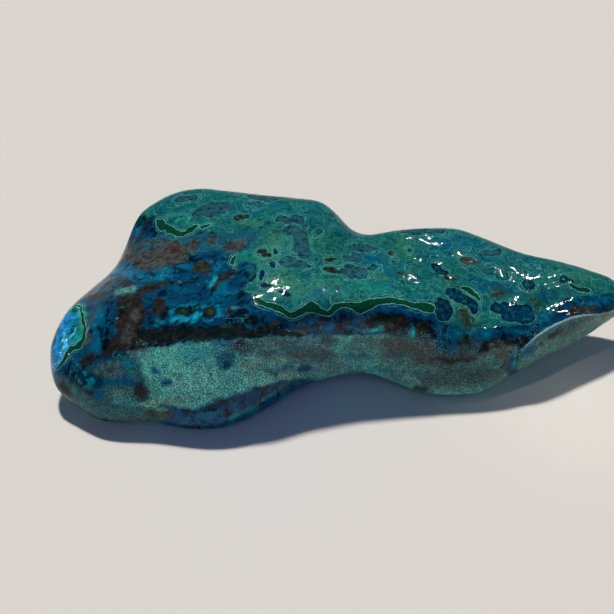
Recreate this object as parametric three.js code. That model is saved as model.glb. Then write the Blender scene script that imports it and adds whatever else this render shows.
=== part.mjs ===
// A polished freeform of chrysocolla and malachite, one solid stone.
// Millimetres, +Z up. X runs along the stone from its blunt end to its pointed tip, and -Y is the
// show face. The origin is the middle of the bounding box, at the level the stone rests on.
import * as THREE from 'three';
import { mergeVertices } from 'three/addons/utils/BufferGeometryUtils.js';

// The two ends of the stone, and how far in from each one its rounding reaches.
const bluntEnd = { x: -95, y: -20, z: 13, round: 6 };
const tipEnd = { x: 95, y: 6, z: 15, round: 9 };

// Rails run along the stone, each a line of [x, y, z]. They follow the stone's own edges and
// hollows, in order round the section: up the show face, over the top, down the back and under.
const rails = {
  foot: [
    [-95, -31, 8], [-90, -34, 6], [-84, -38, 4], [-76, -43, 3], [-62, -44, 3], [-49, -47, 3],
    [-42, -47, 3], [-35, -44, 3], [-25, -38, 5], [-17, -31, 6], [-5, -26, 7], [3, -25, 7],
    [14, -27, 4], [20, -30, 3], [29, -31, 3], [38, -30, 3], [45, -27, 5], [59, -19, 8],
    [74, -10, 9], [89, 1, 11], [95, 3, 12],
  ],
  belly: [
    [-95, -29, 13], [-88, -34, 12], [-76, -42, 11], [-61, -43, 12], [-44, -45, 13],
    [-30, -41, 13], [-17, -31, 13], [-5, -26, 13], [3, -25, 13], [14, -26, 10], [26, -30, 9],
    [38, -29, 9], [45, -27, 10], [59, -20, 12], [74, -10, 13], [89, 0, 14], [95, 2, 14],
  ],
  face: [
    [-95, -26, 18], [-88, -28, 17], [-76, -34, 20], [-61, -37, 21], [-44, -39, 22],
    [-30, -37, 21], [-17, -30, 20], [-5, -26, 19], [3, -25, 19], [14, -25, 16], [26, -28, 14],
    [38, -27, 13], [45, -25, 14], [59, -20, 16], [74, -10, 17], [89, -1, 17], [95, 1, 16],
  ],
  seam: [
    [-95, -20, 20], [-88, -20, 20], [-76, -28, 24], [-61, -32, 26], [-44, -34, 28],
    [-30, -34, 28], [-17, -29, 26], [-5, -26, 25], [3, -25, 25], [14, -25, 23], [26, -26, 19],
    [38, -26, 17], [45, -24, 18], [59, -17, 19], [74, -7, 20], [89, 0, 19], [95, 2, 18],
  ],
  shelf: [
    [-95, -13, 21], [-88, -12, 22], [-76, -20, 27], [-61, -25, 30], [-44, -28, 31],
    [-30, -27, 32], [-17, -26, 32], [-5, -23, 31], [3, -22, 31], [14, -21, 29], [26, -20, 27],
    [38, -20, 23], [45, -18, 23], [59, -10, 23], [74, -2, 22], [89, 3, 21], [95, 4, 19],
  ],
  capFront: [
    [-95, -8, 20], [-88, -5, 22], [-76, -9, 28], [-61, -13, 31], [-44, -16, 32], [-30, -17, 34],
    [-17, -18, 35], [-5, -15, 34], [3, -13, 33], [14, -10, 31], [26, -7, 30], [38, -7, 28],
    [45, -7, 28], [59, -4, 26.5], [74, 2, 25], [89, 6, 22], [95, 6, 20],
  ],
  capMiddle: [
    [-95, -5, 17], [-88, 1, 21], [-76, 8, 27], [-61, 4, 32], [-44, 3, 34], [-30, 1, 37],
    [-17, 0, 38], [-5, 1, 36], [3, 3, 34], [14, 5, 33], [26, 5, 33], [38, 2, 32.5], [45, 2, 31],
    [59, 3, 28], [74, 6, 26], [89, 8, 22], [95, 8, 20],
  ],
  crown: [
    [-95, -4, 15], [-88, 4, 20], [-81, 14, 23], [-76, 25, 30], [-70, 27, 35], [-61, 25, 38],
    [-44, 20, 41], [-30, 18, 42], [-17, 16, 43], [-9, 16, 42], [-3, 14, 38], [4, 12, 35],
    [14, 13, 35], [26, 14, 35], [38, 12, 34], [47, 11, 32], [59, 10, 28.5], [74, 10, 26],
    [89, 9, 22], [95, 9, 19],
  ],
  backEdge: [
    [-95, -4, 12], [-88, 6, 16], [-81, 19, 20], [-77, 31, 32], [-70, 38, 37], [-61, 39, 41],
    [-52, 37, 43], [-44, 35, 43], [-30, 31, 43], [-17, 28, 43], [-10, 28, 42], [-5, 25, 39],
    [0, 20, 35], [5, 18, 34], [14, 19, 35], [26, 20, 35.5], [38, 21, 34.5], [47, 18, 32],
    [59, 15, 28.5], [74, 13, 25.5], [89, 10, 21], [95, 9, 18],
  ],
  backShoulder: [
    [-95, -5, 10], [-88, 8, 12], [-81, 21, 15], [-77, 34, 24], [-61, 46, 32], [-44, 43, 35],
    [-30, 39, 35], [-17, 36, 35], [-5, 30, 30], [5, 26, 27], [14, 26, 28], [26, 28, 29],
    [38, 29, 28], [47, 26, 26], [59, 22, 22], [74, 17, 20], [89, 12, 17], [95, 10, 16],
  ],
  backBelly: [
    [-95, -6, 9], [-88, 8, 9], [-81, 22, 11], [-77, 33, 14], [-61, 47, 18], [-44, 46, 19],
    [-30, 42, 19], [-17, 39, 19], [-5, 33, 17], [5, 29, 16], [14, 29, 16], [26, 31, 17],
    [38, 31, 16], [45, 28, 15], [59, 23, 15], [74, 17, 14], [89, 12, 14], [95, 10, 14],
  ],
  backFoot: [
    [-95, -8, 8], [-88, 3, 7], [-77, 26, 5], [-61, 36, 4], [-44, 36, 3], [-30, 33, 3],
    [-17, 30, 4], [-5, 25, 5], [5, 21, 6], [14, 22, 5], [26, 24, 4], [38, 23, 5], [45, 20, 6],
    [59, 15, 8], [74, 11, 10], [89, 8, 12], [95, 8, 12],
  ],
  keelBack: [
    [-95, -12, 7], [-88, -6, 5], [-77, 8, 1], [-61, 16, -2], [-44, 16, -2], [-30, 14, -2],
    [-17, 12, -1], [-5, 9, 2], [5, 6, 4], [14, 7, 2], [26, 8, 0], [38, 7, 1], [45, 6, 3],
    [59, 4, 6], [74, 3, 9], [89, 5, 11], [95, 6, 12],
  ],
  keelFront: [
    [-95, -22, 7], [-88, -22, 4], [-77, -24, 0], [-61, -24, -2], [-44, -27, -2], [-30, -23, -2],
    [-17, -16, 1], [-5, -11, 4], [5, -10, 5], [14, -12, 2], [26, -16, -1], [38, -15, -1],
    [45, -12, 2], [59, -8, 6], [74, -4, 9], [89, 3, 11], [95, 4, 12],
  ],
};

// How finely the surface is faceted.
const stationStep = 3.2;
const stationsPerEnd = 6;
const samplesPerRail = 3;
const mergeTolerance = 1e-3;

const stoneMaterial = new THREE.MeshStandardMaterial({
  color: 0x2f8f92,
  roughness: 0.22,
  metalness: 0,
});

// A rail's place at any x, from a smooth curve through its points.
function makeRail(points) {
  const places = new Float32Array(points.map((point) => point[0]));
  const values = new Float32Array(points.flatMap((point) => [point[1], point[2]]));
  return new THREE.CubicInterpolant(places, values, 2, new Float32Array(2));
}

// Stations bunch up towards each end, so that the rounding there stays smooth.
function stationList() {
  const stations = [];
  for (let i = 1; i <= stationsPerEnd; i += 1) {
    const turn = (i / stationsPerEnd) * (Math.PI / 2);
    stations.push(bluntEnd.x + bluntEnd.round * (1 - Math.cos(turn)));
    stations.push(tipEnd.x - tipEnd.round * (1 - Math.cos(turn)));
  }
  const bodyStart = bluntEnd.x + bluntEnd.round;
  const bodyLength = tipEnd.x - tipEnd.round - bodyStart;
  const steps = Math.round(bodyLength / stationStep);
  for (let i = 1; i < steps; i += 1) {
    stations.push(bodyStart + (i / steps) * bodyLength);
  }
  return stations.sort((a, b) => a - b);
}

// A quarter-round profile: 0 at the end itself, 1 where its rounding stops.
function endRounding(x, end) {
  const inward = Math.min(Math.abs(x - end.x) / end.round, 1);
  return Math.sqrt(1 - (1 - inward) ** 2);
}

// One section of the stone: a closed curve through the rails, drawn in towards the nearer end.
function sectionAt(x, railCurves) {
  const end = x < 0 ? bluntEnd : tipEnd;
  const fullness = endRounding(x, end);
  const corners = railCurves.map((curve) => {
    const [y, z] = curve.evaluate(x);
    return new THREE.Vector3(
      x,
      THREE.MathUtils.lerp(end.y, y, fullness),
      THREE.MathUtils.lerp(end.z, z, fullness),
    );
  });
  const ring = new THREE.CatmullRomCurve3(corners, true, 'centripetal');
  return ring.getPoints(corners.length * samplesPerRail).slice(0, -1);
}

// Joins neighbouring rings by quads and each end ring to its end point, all facing outwards.
function skinRings(rings) {
  const ringSize = rings[0].length;
  const startPole = new THREE.Vector3(bluntEnd.x, bluntEnd.y, bluntEnd.z);
  const endPole = new THREE.Vector3(tipEnd.x, tipEnd.y, tipEnd.z);
  const points = [...rings.flat(), startPole, endPole];
  const startIndex = points.length - 2;
  const endIndex = points.length - 1;
  const lastRing = (rings.length - 1) * ringSize;
  const faces = [];
  for (let j = 0; j < ringSize; j += 1) {
    const next = (j + 1) % ringSize;
    faces.push(startIndex, j, next);
    faces.push(endIndex, lastRing + next, lastRing + j);
    for (let i = 0; i < rings.length - 1; i += 1) {
      const here = i * ringSize;
      const beyond = here + ringSize;
      faces.push(here + j, beyond + next, here + next);
      faces.push(here + j, beyond + j, beyond + next);
    }
  }
  const geometry = new THREE.BufferGeometry().setFromPoints(points);
  geometry.setIndex(faces);
  return geometry;
}

// Grinds the underside flat wherever the stone would reach below the level it rests on.
function flattenUnderside(geometry) {
  const position = geometry.getAttribute('position');
  for (let i = 0; i < position.count; i += 1) {
    position.setZ(i, Math.max(position.getZ(i), 0));
  }
}

// Puts the origin at the middle of the bounding box, on the resting level.
function centreOnBase(geometry) {
  geometry.computeBoundingBox();
  const middle = geometry.boundingBox.getCenter(new THREE.Vector3());
  geometry.translate(-middle.x, -middle.y, -geometry.boundingBox.min.z);
}

function makeStone() {
  const railCurves = Object.values(rails).map(makeRail);
  const rings = stationList().map((x) => sectionAt(x, railCurves));
  const skin = skinRings(rings);
  flattenUnderside(skin);
  centreOnBase(skin);
  const geometry = mergeVertices(skin, mergeTolerance);
  geometry.computeVertexNormals();
  const stone = new THREE.Mesh(geometry, stoneMaterial);
  stone.name = 'stone';
  return stone;
}

const specimen = new THREE.Group();
specimen.add(makeStone());

export default specimen;
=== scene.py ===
import math

import bpy
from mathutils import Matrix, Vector, noise


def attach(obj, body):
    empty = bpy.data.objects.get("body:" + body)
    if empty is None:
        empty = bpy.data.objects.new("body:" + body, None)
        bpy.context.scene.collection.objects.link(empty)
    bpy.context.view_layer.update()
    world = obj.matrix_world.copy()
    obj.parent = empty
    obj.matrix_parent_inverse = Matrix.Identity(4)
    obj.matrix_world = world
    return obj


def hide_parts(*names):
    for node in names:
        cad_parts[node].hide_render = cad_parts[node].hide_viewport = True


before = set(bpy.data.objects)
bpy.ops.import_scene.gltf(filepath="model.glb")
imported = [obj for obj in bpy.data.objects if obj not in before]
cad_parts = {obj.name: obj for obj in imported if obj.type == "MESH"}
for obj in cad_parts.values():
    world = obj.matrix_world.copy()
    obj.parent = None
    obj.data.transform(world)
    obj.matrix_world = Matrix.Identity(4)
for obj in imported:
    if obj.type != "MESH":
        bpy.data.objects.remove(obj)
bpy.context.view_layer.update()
bpy.ops.object.select_all(action="DESELECT")
mm = 0.001
noise.seed_set(11)
print("frame loaded")

# camera, about 15 cm above the table and looking down at the show side
view = {"place": (-0.015, -0.218, 0.152), "pitch": 32.0, "lens": 45.15, "sensor": 36.0}
cameraData = bpy.data.cameras.new("specimenCamera")
cameraData.lens = view["lens"]
cameraData.sensor_width = view["sensor"]
cameraData.clip_start = 0.01
camera = bpy.data.objects.new("specimenCamera", cameraData)
camera.location = view["place"]
camera.rotation_euler = (math.radians(90 - view["pitch"]), 0, 0)
bpy.context.scene.collection.objects.link(camera)
bpy.context.scene.camera = camera

stoneShape = {
    "voxel": 0.67 * mm,
    "smoothTurns": 8,
    "dentSize": 13 * mm,
    "dentDepth": 0.35 * mm,
    "ripple": 3.4 * mm,
    "rippleDepth": 0.14 * mm,
    "hollowDepth": 0.15 * mm,
    "ridgeHeight": 0.5 * mm,
    "hollowEdge": (1.2, -0.8),  # where a hollow starts and is whole, from the edge of its seam
    "rippleEdge": (-1, 1),
    "groundBelow": 0.05 * mm,
}


def startPiece(node, name):
    piece = bpy.data.objects.new(name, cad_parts[node].data.copy())
    bpy.context.scene.collection.objects.link(piece)
    piece.data.materials.clear()
    bpy.ops.object.select_all(action="DESELECT")
    piece.select_set(True)
    bpy.context.view_layer.objects.active = piece
    bpy.ops.object.mode_set(mode="EDIT")
    bpy.ops.mesh.select_all(action="SELECT")
    bpy.ops.mesh.remove_doubles(threshold=0.01 * mm)
    bpy.ops.mesh.tris_convert_to_quads(face_threshold=math.pi, shape_threshold=math.pi)
    bpy.ops.mesh.customdata_custom_splitnormals_clear()
    bpy.ops.object.mode_set(mode="OBJECT")
    return piece


def useModifier(piece, kind, **settings):
    modifier = piece.modifiers.new(kind.lower(), kind)
    for key, value in settings.items():
        setattr(modifier, key, value)
    bpy.ops.object.modifier_apply(modifier=modifier.name)


stone = startPiece("stone", "polishedStone")
useModifier(stone, "SUBSURF", levels=2, render_levels=2)
useModifier(stone, "REMESH", mode="VOXEL", voxel_size=stoneShape["voxel"])
useModifier(stone, "SMOOTH", factor=0.5, iterations=stoneShape["smoothTurns"])
print("stone rounded:", len(stone.data.vertices), "points")

# Places on the show side are (x, rise) in millimetres: rise is the height seen square on from
# the camera's side, so it grows up the face and then back over the top.
paint = {
    "teal": (0.008, 0.150, 0.152),
    "paleTeal": (0.040, 0.260, 0.225),
    "leaf": (0.020, 0.185, 0.125),
    "lime": (0.044, 0.222, 0.128),
    "vivid": (0.006, 0.230, 0.175),
    "darkGreen": (0.002, 0.045, 0.022),
    "navy": (0.001, 0.034, 0.076),
    "deepBlue": (0.001, 0.052, 0.118),
    "azure": (0.001, 0.115, 0.215),
    "cyan": (0.008, 0.290, 0.400),
    "slate": (0.022, 0.104, 0.140),
    "taupe": (0.066, 0.072, 0.060),
    "sand": (0.200, 0.480, 0.330),
    "umber": (0.024, 0.020, 0.014),
    "soot": (0.003, 0.008, 0.007),
    "olive": (0.035, 0.042, 0.010),
    "rust": (0.070, 0.030, 0.018),
    "plum": (0.046, 0.042, 0.060),
    "turquoise": (0.130, 0.560, 0.430),
    "greyGrain": (0.095, 0.280, 0.232),
    "paleGrain": (0.170, 0.560, 0.420),
    "dimGrain": (0.060, 0.120, 0.115),
    "lensTeal": (0.004, 0.230, 0.250),
    # the blue of the end, painted brighter where the light falls on it, then painted highlight
    # streaks on it
    "litLensBlue": (0.020, 0.290, 0.640),
    "lensPale": (0.120, 0.780, 1.000),
    # painted sheen: a pale blue reflection of the sky
    "haze": (0.016, 0.128, 0.178),
    "dimTeal": (0.030, 0.150, 0.150),
    # painted highlight: a pale blue line along the ridge over the right facet
    "ridgeHighlight": (0.420, 0.640, 0.760),
    "aqua": (0.025, 0.600, 0.510),
    "clearGrain": (0.070, 0.420, 0.370),
    "blueGrain": (0.026, 0.170, 0.220),
    "brownGrain": (0.080, 0.100, 0.082),
    "archBlue": (0.001, 0.070, 0.165),
    "darkTeal": (0.005, 0.080, 0.098),
}

# outlines of the big zones, each a closed line of (x, rise)
capZone = [
    (-110, 48), (-79, 46.5), (-72, 45.5), (-67, 44.5), (-67, 41), (-64, 39.6), (-61, 38),
    (-57, 37), (-53.5, 37.8), (-51, 39.3), (-47, 38.3), (-41, 38), (-35, 38.2), (-31.5, 37.5),
    (-31, 34), (-32, 31.5), (-36, 31.5), (-39.5, 30.5), (-41, 28), (-40.5, 26), (-38, 26.2),
    (-36, 28), (-33.5, 28.3), (-31, 27), (-30, 25), (-31, 22.5), (-33, 21), (-34, 19),
    (-32, 17.5), (-30.5, 16), (-29.5, 13.8), (-27, 13.2), (-24, 12.5), (-22, 11.5), (-20, 10.3),
    (-17, 11), (-12, 11.8), (-8.5, 10.4), (-7.5, 11.6), (-6.5, 12.6), (-5, 13), (-2, 12.5),
    (0, 11.4), (2, 12), (4, 13.5), (7, 14.6), (10, 14.7), (13, 14), (16, 13), (19, 12.3),
    (22, 11.6), (24, 11), (24.5, 9.5), (27, 8.7), (31, 6), (35, 4.5), (37.5, 5), (39, 7),
    (42, 7.3), (47, 7.6), (52, 8), (57, 8), (60.5, 10.5), (63, 12.5), (66, 15), (70, 16.5),
    (75, 17.2), (82, 17.5), (87, 17.8), (95, 17.5), (115, 18), (115, 90), (-110, 90),
]
grainZone = [
    (-63, 2.8), (-60, 1.9), (-55, 2), (-50, 2.6), (-46, 3.2), (-40, 3.6), (-34, 4.4), (-22, 4.5),
    (-18, 3.3), (-14, 2.3), (-10, 3), (-6, 4.8), (0, 4.6), (6, 4.6), (9, 5.2), (14, 3.8),
    (20, 3.2), (23, 2.5), (26, 0.5), (29, -1.5), (31, -2), (33, -1), (36, -1.2), (38, -1),
    (41, -0.4), (45, 0.6), (49, 1), (50, 0), (48, -3), (48, -6), (50, -9), (51, -30), (-10, -30),
    (-12, -9.5), (-18, -8.3), (-22, -8), (-26, -9), (-30, -10.5), (-35, -12.7), (-40, -15),
    (-46, -16.3), (-50, -15.6), (-54, -15), (-56, -17), (-58, -20), (-60, -30), (-90, -30),
    (-87, -16), (-83, -13), (-77, -13.5), (-75, -8), (-70, -4), (-66, -1),
]
facetZone = [
    (51, 0.5), (53, 2), (56, 4.5), (60, 6.7), (64, 8.3), (69, 10), (74, 10.8), (80, 11.2),
    (86, 12.5), (95, 15), (115, 16), (115, -30), (51, -30), (50.5, -6),
]

# flat patches of one colour: paint, soft edge, outline
patches = [
    ("navy", 0.5, [
        (-79, 35), (-76, 36.3), (-70, 38), (-66, 38.6), (-66.5, 41), (-67, 44.6), (-72, 45.2),
        (-80, 46.5), (-90, 46), (-90, 35),
    ]),
    # painted sheen: a pale blue reflection laid over the saddle
    ("haze", 0.7, [
        (-66, 38.2), (-60, 37.4), (-55, 37.4), (-50, 38.2), (-42, 38), (-32.5, 38), (-31, 35),
        (-32, 31.6), (-38, 31.4), (-42, 30.6), (-49, 30), (-54, 30.6), (-56, 34), (-62, 35.6),
        (-70, 36),
    ]),
    ("taupe", 0.6, [
        (-80, 29.5), (-77, 33.5), (-73, 35.4), (-66, 36.4), (-59, 35.4), (-54.4, 33.6),
        (-53.4, 31), (-53.8, 29), (-57, 27.6), (-61, 26.4), (-65, 25.4), (-69, 25), (-70.4, 27),
        (-74, 28.6),
    ]),
    ("azure", 0.8, [
        (-84, 23), (-78, 28.4), (-72, 28), (-69.4, 25), (-65, 25.2), (-58, 27.2), (-53, 28.6),
        (-51, 26), (-56, 24), (-62, 22), (-70, 21.8), (-78, 22.4),
    ]),
    ("deepBlue", 0.8, [
        (-83, 14.5), (-80, 17), (-76, 16), (-73.4, 13), (-72, 9), (-72.6, 4), (-75, 1), (-80, -3),
        (-85, -3), (-86, 0), (-83, 3), (-80.8, 6), (-81.4, 11),
    ]),
    ("umber", 0.8, [
        (-74, 16), (-70, 18), (-65, 16), (-62.6, 12), (-63.4, 7), (-62.6, 3.4), (-65, 1.4),
        (-71, 0), (-76, -1.6), (-82, -4.4), (-82.6, -2.6), (-77, 0.6), (-73, 3), (-71.4, 6),
        (-72.4, 11),
    ]),
    ("umber", 0.6, [
        (37, -1.6), (38.6, 0.6), (40, 2.4), (43, 3.8), (46, 3.4), (50, 3.4), (53, 3.8), (52, 2),
        (49, 1), (45, 0.4), (41, -0.8), (39, -2),
    ]),
    ("umber", 0.5, [
        (68, 11.4), (69.6, 13.4), (71, 14.4), (75, 14.6), (78.4, 13.8), (80, 12.4), (79, 11.4),
        (74, 11), (70, 10.4),
    ]),
    ("dimTeal", 1, [
        (-65, 0), (-63, -3), (-61.6, -8), (-60.6, -12), (-58.6, -14.6), (-57, -18), (-57, -30),
        (-97, -30), (-93, -9), (-85, -6), (-75, -3),
    ]),
    # the end of the stone: its blue, painted brighter where the light falls on it
    ("litLensBlue", 0.5, [
        (-87, 14.5), (-85.8, 13), (-85, 11), (-83.8, 9), (-83, 7), (-82.6, 5), (-83, 3.4),
        (-84.6, 2.4), (-86.4, 2.2), (-87.4, 1), (-88, -1), (-88.6, -3), (-91, -5.6), (-99, -7),
        (-99, 16),
    ]),
]

# eyes in the cap, by paint: x, rise, half length, half height, turn
eyes = {
    "slate": [
        (-57, 51.2, 4.4, 1.4, 2), (-47, 46.6, 6.9, 2.7, 7), (-52, 45.4, 2.6, 1.6, 0),
        (-32.4, 48.3, 2.8, 1.2, -5), (-29.5, 51.2, 6.6, 1, -3), (-20.4, 42, 5.2, 1.5, -6),
        (-19.4, 37.8, 3.4, 2, -20), (-17.2, 36, 3, 2.4, -30), (-16.8, 33.4, 3, 2.8, 0),
        (-15.4, 30.8, 2, 1.5, 0), (-20.6, 27.6, 3.4, 2, 4), (-17.4, 27, 2.8, 1.7, -12),
        (-1.6, 24.6, 3, 2.1, 0), (1.8, 24, 2.8, 1.9, -10), (-0.4, 29, 3.6, 1.3, 0),
        (1.4, 32.8, 4, 1.8, 0), (5.4, 32.4, 3.2, 1.2, -6), (24.5, 39.2, 8.2, 1.5, 0),
        (46, 31.4, 4.6, 1.5, 3),
    ],
    "umber": [
        (-28.8, 30.7, 2.3, 1, -6), (-7.4, 24.7, 2.8, 1.3, -20), (30.6, 22.3, 2.2, 0.8, 0),
        (-8, 28.6, 1.6, 0.7, 0),
    ],
    "deepBlue": [
        (-24.8, 31.2, 0.8, 0.6, 0), (92, 21, 2.2, 1.8, 0), (48.4, 12, 3.6, 3, 0),
        (52.4, 11.4, 4, 3, -6), (-28.5, 23, 1, 1.7, 0), (-14.6, 26.3, 0.7, 0.6, 0),
        (-25.6, 26.6, 0.8, 1.2, 0),
    ],
    "olive": [(-36.8, 43.2, 2.4, 1.2, 0)],
    "teal": [
        (-11, 37.5, 1.5, 1.1, 20), (6.2, 25.8, 1.7, 0.8, 0), (18.6, 32.3, 1, 0.7, 0),
        (44.6, 24.9, 3.8, 1.5, -8), (47.6, 23.8, 2.4, 2.2, 0),
    ],
    "rust": [(12.2, 31, 0.9, 0.9, 0), (13, 28.2, 0.9, 0.7, 0)],
    "navy": [
        (27, 25.8, 2, 1.5, -30), (28.8, 24.4, 1.6, 1.2, -20), (31.4, 17.2, 3.2, 2.3, -20),
        (34.4, 15.4, 2.6, 2, -50), (36.8, 13.2, 1.6, 2.1, 10), (26.4, 12.6, 2.9, 3.2, 6),
        (43.9, 12.6, 2.2, 1.6, 15), (-32.8, 25.4, 2.1, 1.8, 0), (-32.4, 22.8, 1.5, 1.8, 0),
        (-27, 19.8, 1.8, 0.9, -8), (-21.8, 17.6, 1.9, 1, -25),
    ],
    "taupe": [(37.7, 28.2, 2.8, 1.3, -5)],
    "darkTeal": [(56, 20.6, 2.3, 1.8, 15), (70, 22.3, 2.3, 1.4, 0)],
}

# wider pale outlines round the eyes: x, rise, half length, half height, turn
halos = [
    (-57, 51.2, 6, 2.3, 2), (-32.4, 48.3, 4, 2, 0), (-36.8, 43.2, 3.6, 2, 0),
    (-28.8, 30.8, 3.4, 1.8, 0), (-24.8, 31.2, 1.6, 1.2, 0), (-16.8, 33.4, 4.4, 4.4, 0),
    (-14.4, 30.4, 2.4, 1.9, 0), (-14.6, 26.3, 1.5, 1.3, 0), (-19.4, 27.4, 6.2, 3.2, -2),
    (-11, 37.5, 2.3, 1.8, 20), (0.2, 24.4, 6, 3.4, -4), (-7.4, 24.7, 3.6, 2, -20),
    (6.4, 25.8, 2.8, 1.6, 0), (8, 20, 5.4, 2.8, 0), (12.6, 18.6, 2.6, 2.6, 0),
    (3, 18.2, 2, 1.6, 0), (18.6, 32.3, 1.9, 1.4, 0), (18.6, 24.6, 3, 2.6, 0),
    (21, 21.4, 2.4, 2, 0), (17.4, 20.6, 1.8, 2.2, 0), (37.8, 28.2, 4.2, 2.3, -4),
    (45, 24.6, 6, 2.9, -10), (48.6, 23.2, 3.4, 3.4, 0), (56, 20.6, 3.3, 2.7, 15),
    (70, 22.6, 6, 3, 0), (32.4, 16.5, 4, 2.9, -25), (36.8, 13.2, 2.5, 2.9, 10),
    (26.4, 12.8, 3.5, 3.9, 6), (50, 11.8, 7.2, 3.7, 0), (92, 21, 3.2, 2.6, 0),
    (-49, 40.6, 1.6, 1, 10), (-20, 21, 2.6, 1.6, 0), (-12, 20.4, 2.2, 1.3, 0),
    (-25, 21.4, 2.8, 1.6, 20), (59.5, 26, 4, 1.4, -8), (82, 21, 3.2, 1.8, -10),
]

# malachite: lines of (x, rise, half width)
malachite = [
    [
        (-30.2, 17, 0.5), (-29.6, 15.6, 0.9), (-28.6, 14.6, 1), (-27, 14.2, 0.8), (-25, 14, 0.8),
        (-23.4, 13.3, 0.9), (-21.8, 12.1, 0.8), (-20.2, 10.7, 0.5), (-18.8, 11.1, 0.7),
        (-17, 12.1, 1), (-15.2, 13.2, 1.3), (-13.6, 13.5, 1.7), (-12, 12.8, 1.3),
        (-10, 11.9, 0.7), (-8.5, 11.1, 0.6), (-7.6, 12.3, 0.8), (-6.4, 13.4, 0.9),
        (-4.8, 13.9, 0.8), (-3, 13.8, 0.8), (-1.4, 13.4, 1), (0, 13.1, 1.4), (1.4, 13.3, 1.5),
        (2.8, 14.1, 1.5), (4.5, 14.9, 1.3), (6.4, 15.3, 0.9), (8.6, 15.5, 0.8), (11, 15.4, 0.9),
        (13.4, 14.8, 0.8), (15.6, 14.2, 0.8), (17.6, 13.8, 1), (20, 13.6, 1.4), (22.2, 13.2, 1.7),
    ],
    [
        (-66.6, 43.4, 0.7), (-65.6, 42.6, 1.4), (-64.6, 41, 1.5), (-63, 40.6, 1),
        (-61.8, 39.6, 1.3), (-60.2, 38.8, 1.1), (-58.6, 37.9, 1), (-57, 37.8, 0.6),
        (-55.4, 38.1, 0.6), (-54, 39.4, 1.1), (-52.8, 40.6, 0.9), (-52, 41, 0.4),
    ],
    [(-50.6, 40, 0.4), (-49, 40.5, 0.6), (-47.6, 41, 0.3)],
    [(-38, 30, 0.3), (-38.8, 29, 0.7), (-39, 27.8, 0.9), (-38.2, 27, 0.5)],
    [(33.8, 19.4, 0.5), (36.2, 18.6, 0.8), (38, 17.2, 0.9), (38.8, 15.8, 0.5)],
    [(71, 20.6, 0.5), (73, 19.8, 0.6), (75, 19.2, 0.8), (77.8, 18.7, 0.5)],
    [
        (-92.8, 11, 0.15), (-91, 13.2, 0.3), (-88.6, 14.2, 0.35), (-86.4, 13.4, 0.3),
        (-85.2, 11, 0.45), (-83.8, 9, 0.5), (-82.9, 7, 0.5), (-82.4, 5, 0.6), (-82.6, 3.2, 0.95),
        (-83.8, 1.9, 0.95), (-85.4, 1.4, 0.7), (-86.8, 0.7, 0.85), (-87.5, -0.8, 0.75),
        (-88, -2.6, 0.7), (-88.8, -4, 0.6), (-90.6, -5.4, 0.35),
    ],
]

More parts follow.
